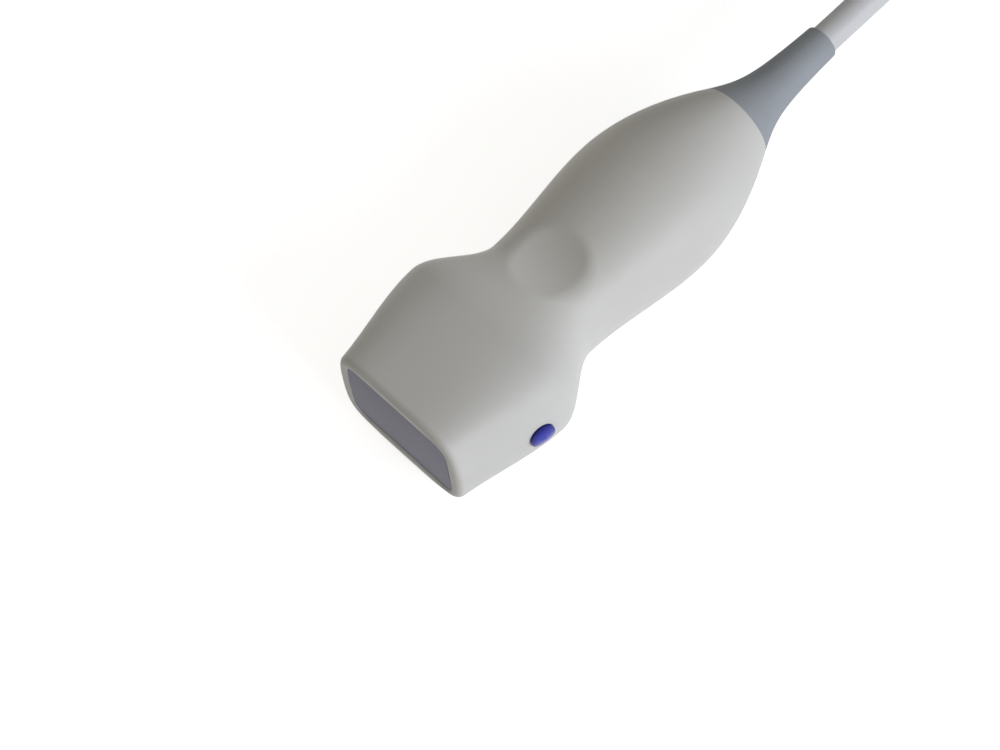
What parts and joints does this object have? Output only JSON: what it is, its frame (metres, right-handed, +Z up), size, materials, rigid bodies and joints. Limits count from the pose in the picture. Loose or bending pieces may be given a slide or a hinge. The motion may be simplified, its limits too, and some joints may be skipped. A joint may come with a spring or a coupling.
{
  "type": "ultrasound transducer probe",
  "caption": "Phased-array ultrasound probe: waisted light grey handpiece with thumb rests, flat dark lens, blue marker, grey boot, coiled cable and connector with a turning lock.",
  "frame": {"origin": "on the table, under the middle of the handpiece with its strain relief", "axes": "+X from the lens along the handpiece towards the cable, +Z up from the table, through the upper thumb rest"},
  "size_m": [0.2408, 0.1011, 0.0505],
  "materials": {
    "housing_plastic": "fine satin grain",
    "lens_rubber": "smooth matt silicone",
    "matching_resin": "cast filled resin",
    "copper_film": "bright foil",
    "piezo_ceramic": "ground ceramic with silvered faces",
    "backing_epoxy": "filled epoxy",
    "frame_aluminium": "milled",
    "board_laminate": "solder mask",
    "socket_plastic": "moulded",
    "screw_steel": "plated",
    "wire_jacket": "fine coax bundle",
    "clamp_plastic": "glass-filled moulding",
    "boot_rubber": "soft matt moulding",
    "marker_blue": "glossy inlay",
    "cable_jacket": "soft satin jacket",
    "tie_fabric": "woven hook-and-loop strap",
    "contact_gold": "gold plated",
    "block_plastic": "moulded insulator",
    "knob_plastic": "satin moulding"
  },
  "bodies": {
    "probe": {"upper_shell": "housing_plastic", "lower_shell": "housing_plastic", "lens": "lens_rubber", "outer_matching_layer": "matching_resin", "inner_matching_layer": "matching_resin", "ground_foil": "copper_film", "piezo_array": "piezo_ceramic", "signal_flex": "copper_film", "backing_block": "backing_epoxy", "array_frame": "frame_aluminium", "upper_board": "board_laminate", "lower_board": "board_laminate", "flex_sockets": "socket_plastic", "board_screws": "screw_steel", "coax_harness": "wire_jacket", "upper_clamp": "clamp_plastic", "lower_clamp": "clamp_plastic", "clamp_screws": "screw_steel", "braid_ferrule": "screw_steel", "strain_relief_boot": "boot_rubber", "orientation_marker": "marker_blue", "cable_lead": "cable_jacket", "cable_coil": "cable_jacket", "cable_tail": "cable_jacket", "cable_tie": "tie_fabric", "plug_base": "housing_plastic", "plug_cover": "housing_plastic", "plug_screws": "screw_steel", "contact_block": "block_plastic", "contacts": "contact_gold", "plug_board": "board_laminate", "plug_harness": "wire_jacket", "cable_saddle": "clamp_plastic", "saddle_screws": "screw_steel", "plug_boot": "boot_rubber"},
    "lock": {"lock_shaft": "screw_steel", "lock_knob": "knob_plastic"}
  },
  "joints": [
    {"name": "lock_turn", "type": "hinge", "parent": "probe", "child": "lock", "pos_m": [0.08625, 0.052, 0.0405], "axis": [0, 0, 1], "range_deg": [0, 90]}
  ]
}
